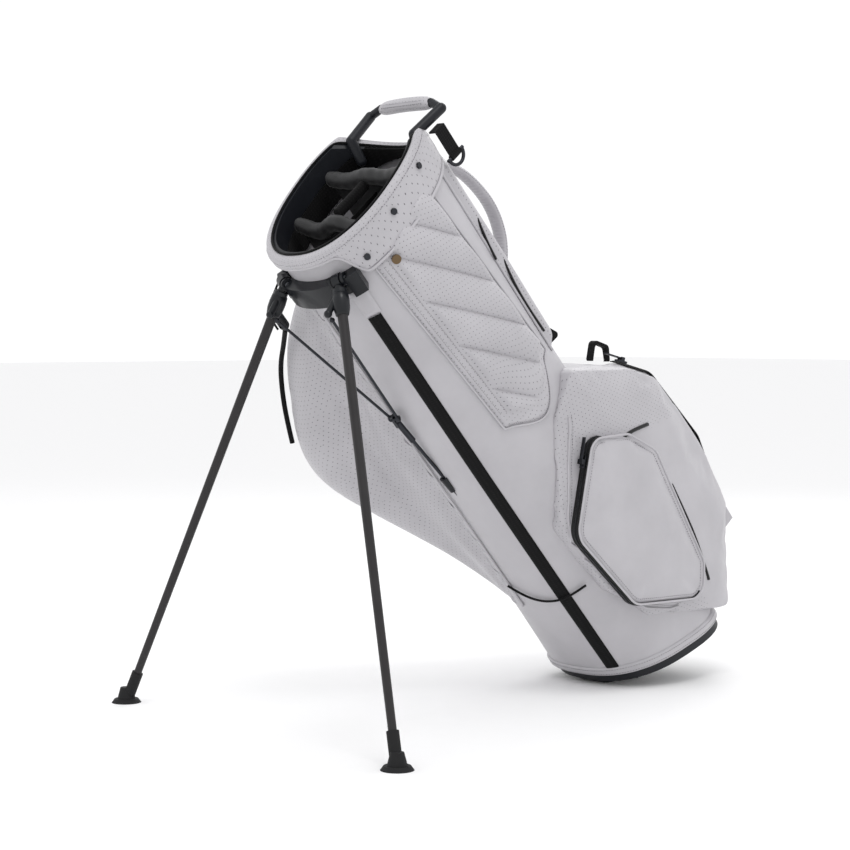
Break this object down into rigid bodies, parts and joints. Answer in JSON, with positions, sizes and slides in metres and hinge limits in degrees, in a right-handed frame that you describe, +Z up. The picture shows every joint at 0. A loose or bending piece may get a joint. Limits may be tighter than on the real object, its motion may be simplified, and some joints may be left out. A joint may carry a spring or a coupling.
{
  "type": "golf stand bag",
  "caption": "White golf bag leaning on two fold-out legs, with a divided mouth, top handle, padded pockets, zips and a hinged base lever.",
  "frame": {"origin": "centre of the hinged base lever's underside, on the floor, with the legs out", "axes": "+Z up; -X towards the legs' feet; Y across the bag, -Y its near side with the small pocket"},
  "size_m": [0.9151, 0.648, 0.8524],
  "materials": {
    "white_leather": "soft satin synthetic leather",
    "black_plastic": "moulded, fine grain",
    "black_rubber": "matt moulded rubber",
    "carbon_tube": "dark satin powder coat over aluminium",
    "black_webbing": "woven polyester webbing",
    "black_lining": "brushed polyester lining",
    "zip_black": "coated water-resistant zip tape",
    "steel_dark": "black oxide",
    "bronze": "antique bronze",
    "steel": "plain"
  },
  "bodies": {
    "bag": {"ball_pocket": "white_leather", "ball_zip": "zip_black", "bar_back": "black_lining", "bar_centre": "black_lining", "bar_front": "black_lining", "base_band": "white_leather", "base_shell": "black_plastic", "cord_lock": "black_plastic", "cuff": "white_leather", "far_pocket": "white_leather", "grab_loop": "white_leather", "handle_frame": "black_plastic", "handle_grip": "white_leather", "inner_trim": "black_lining", "label_tab": "white_leather", "leg_bracket": "black_plastic", "leg_pins": "steel", "lever_pin": "steel", "quilt_pocket": "white_leather", "ring_webbing": "black_webbing", "rivets": "steel_dark", "rod_boot": "black_plastic", "shell_back": "white_leather", "shell_front": "white_leather", "shell_left": "white_leather", "shell_right": "white_leather", "side_pocket": "white_leather", "side_strip": "black_webbing", "side_zip": "zip_black", "snap": "bronze", "spine_pocket": "white_leather", "stays": "steel", "strap_anchor": "black_webbing", "strip_cover": "white_leather", "tie_cord": "black_webbing", "tie_strap": "black_webbing", "top_ring": "black_plastic", "umbrella_cord": "black_webbing", "web_back": "black_lining", "web_centre": "black_lining", "web_front": "black_lining", "webbing_loop": "black_webbing"},
    "leg_left": {"leg_hub_left": "black_plastic", "leg_tube_left": "carbon_tube", "leg_foot_left": "black_rubber"},
    "leg_right": {"leg_hub_right": "black_plastic", "leg_tube_right": "carbon_tube", "leg_foot_right": "black_rubber"},
    "push_rod": {"push_rod": "steel_dark"},
    "link_rod_left": {"link_rod_left": "steel_dark"},
    "link_rod_right": {"link_rod_right": "steel_dark"},
    "base_lever": {"base_lever": "black_plastic"},
    "d_ring": {"d_ring": "steel_dark"},
    "side_slider": {"side_slider": "steel_dark"},
    "side_pull": {"side_pull": "steel_dark"},
    "ball_slider": {"ball_slider": "steel_dark"},
    "ball_pull": {"ball_pull": "steel_dark"},
    "lock_button": {"lock_button": "black_plastic"}
  },
  "joints": [
    {"name": "leg_left_fold", "type": "hinge", "parent": "bag", "child": "leg_left", "pos_m": [-0.55636, -0.0587, 0.59568], "axis": [0.315, -0.8959, 0.3132], "range_deg": [0, 49.33]},
    {"name": "leg_right_fold", "type": "hinge", "parent": "bag", "child": "leg_right", "pos_m": [-0.55636, 0.0587, 0.59568], "axis": [-0.315, -0.8959, -0.3132], "range_deg": [0, 49.33]},
    {"name": "push_rod_slide", "type": "slide", "parent": "bag", "child": "push_rod", "axis": [0.7251, 0, -0.6886], "range_m": [0, 0.03089]},
    {"name": "link_left_swing", "type": "hinge", "parent": "push_rod", "child": "link_rod_left", "pos_m": [-0.4121, -0.0075, 0.40838], "axis": [-0.4655, 0.8626, -0.1982], "range_deg": [0, 6.77]},
    {"name": "link_right_swing", "type": "hinge", "parent": "push_rod", "child": "link_rod_right", "pos_m": [-0.4121, 0.0075, 0.40838], "axis": [0.4655, 0.8626, 0.1982], "range_deg": [0, 6.77]},
    {"name": "base_lever_tilt", "type": "hinge", "parent": "bag", "child": "base_lever", "pos_m": [0, 0, 0.0125], "axis": [0, -1, 0], "range_deg": [0, 16]},
    {"name": "d_ring_swing", "type": "hinge", "parent": "bag", "child": "d_ring", "pos_m": [-0.37725, -0.088, 0.76993], "axis": [0.7547, 0, 0.6561], "range_deg": [-70, 4]},
    {"name": "side_zip_slide", "type": "slide", "parent": "bag", "child": "side_slider", "axis": [-0.2046, 0, -0.9789], "range_m": [0, 0.07]},
    {"name": "side_pull_flip", "type": "hinge", "parent": "side_slider", "child": "side_pull", "pos_m": [-0.1755, -0.1273, 0.3452], "axis": [0, -1, 0], "range_deg": [0, 150]},
    {"name": "ball_zip_slide", "type": "slide", "parent": "bag", "child": "ball_slider", "axis": [0.974, 0, -0.2265], "range_m": [0, 0.038]},
    {"name": "ball_pull_flip", "type": "hinge", "parent": "ball_slider", "child": "ball_pull", "pos_m": [-0.02389, -0.059, 0.48917], "axis": [0, 1, 0], "range_deg": [0, 150]},
    {"name": "lock_button_press", "type": "slide", "parent": "bag", "child": "lock_button", "axis": [0.6561, 0, -0.7547], "range_m": [0, 0.003], "stiffness_N_per_m": 300}
  ],
  "couplings": [
    {"joint": "leg_right_fold", "follows": "leg_left_fold", "ratio": 1},
    {"joint": "push_rod_slide", "follows": "leg_left_fold", "m_per_rad": 0.035881},
    {"joint": "link_left_swing", "follows": "leg_left_fold", "ratio": 0.13724},
    {"joint": "link_right_swing", "follows": "leg_left_fold", "ratio": 0.13724},
    {"joint": "base_lever_tilt", "follows": "leg_left_fold", "ratio": 0.32435}
  ]
}
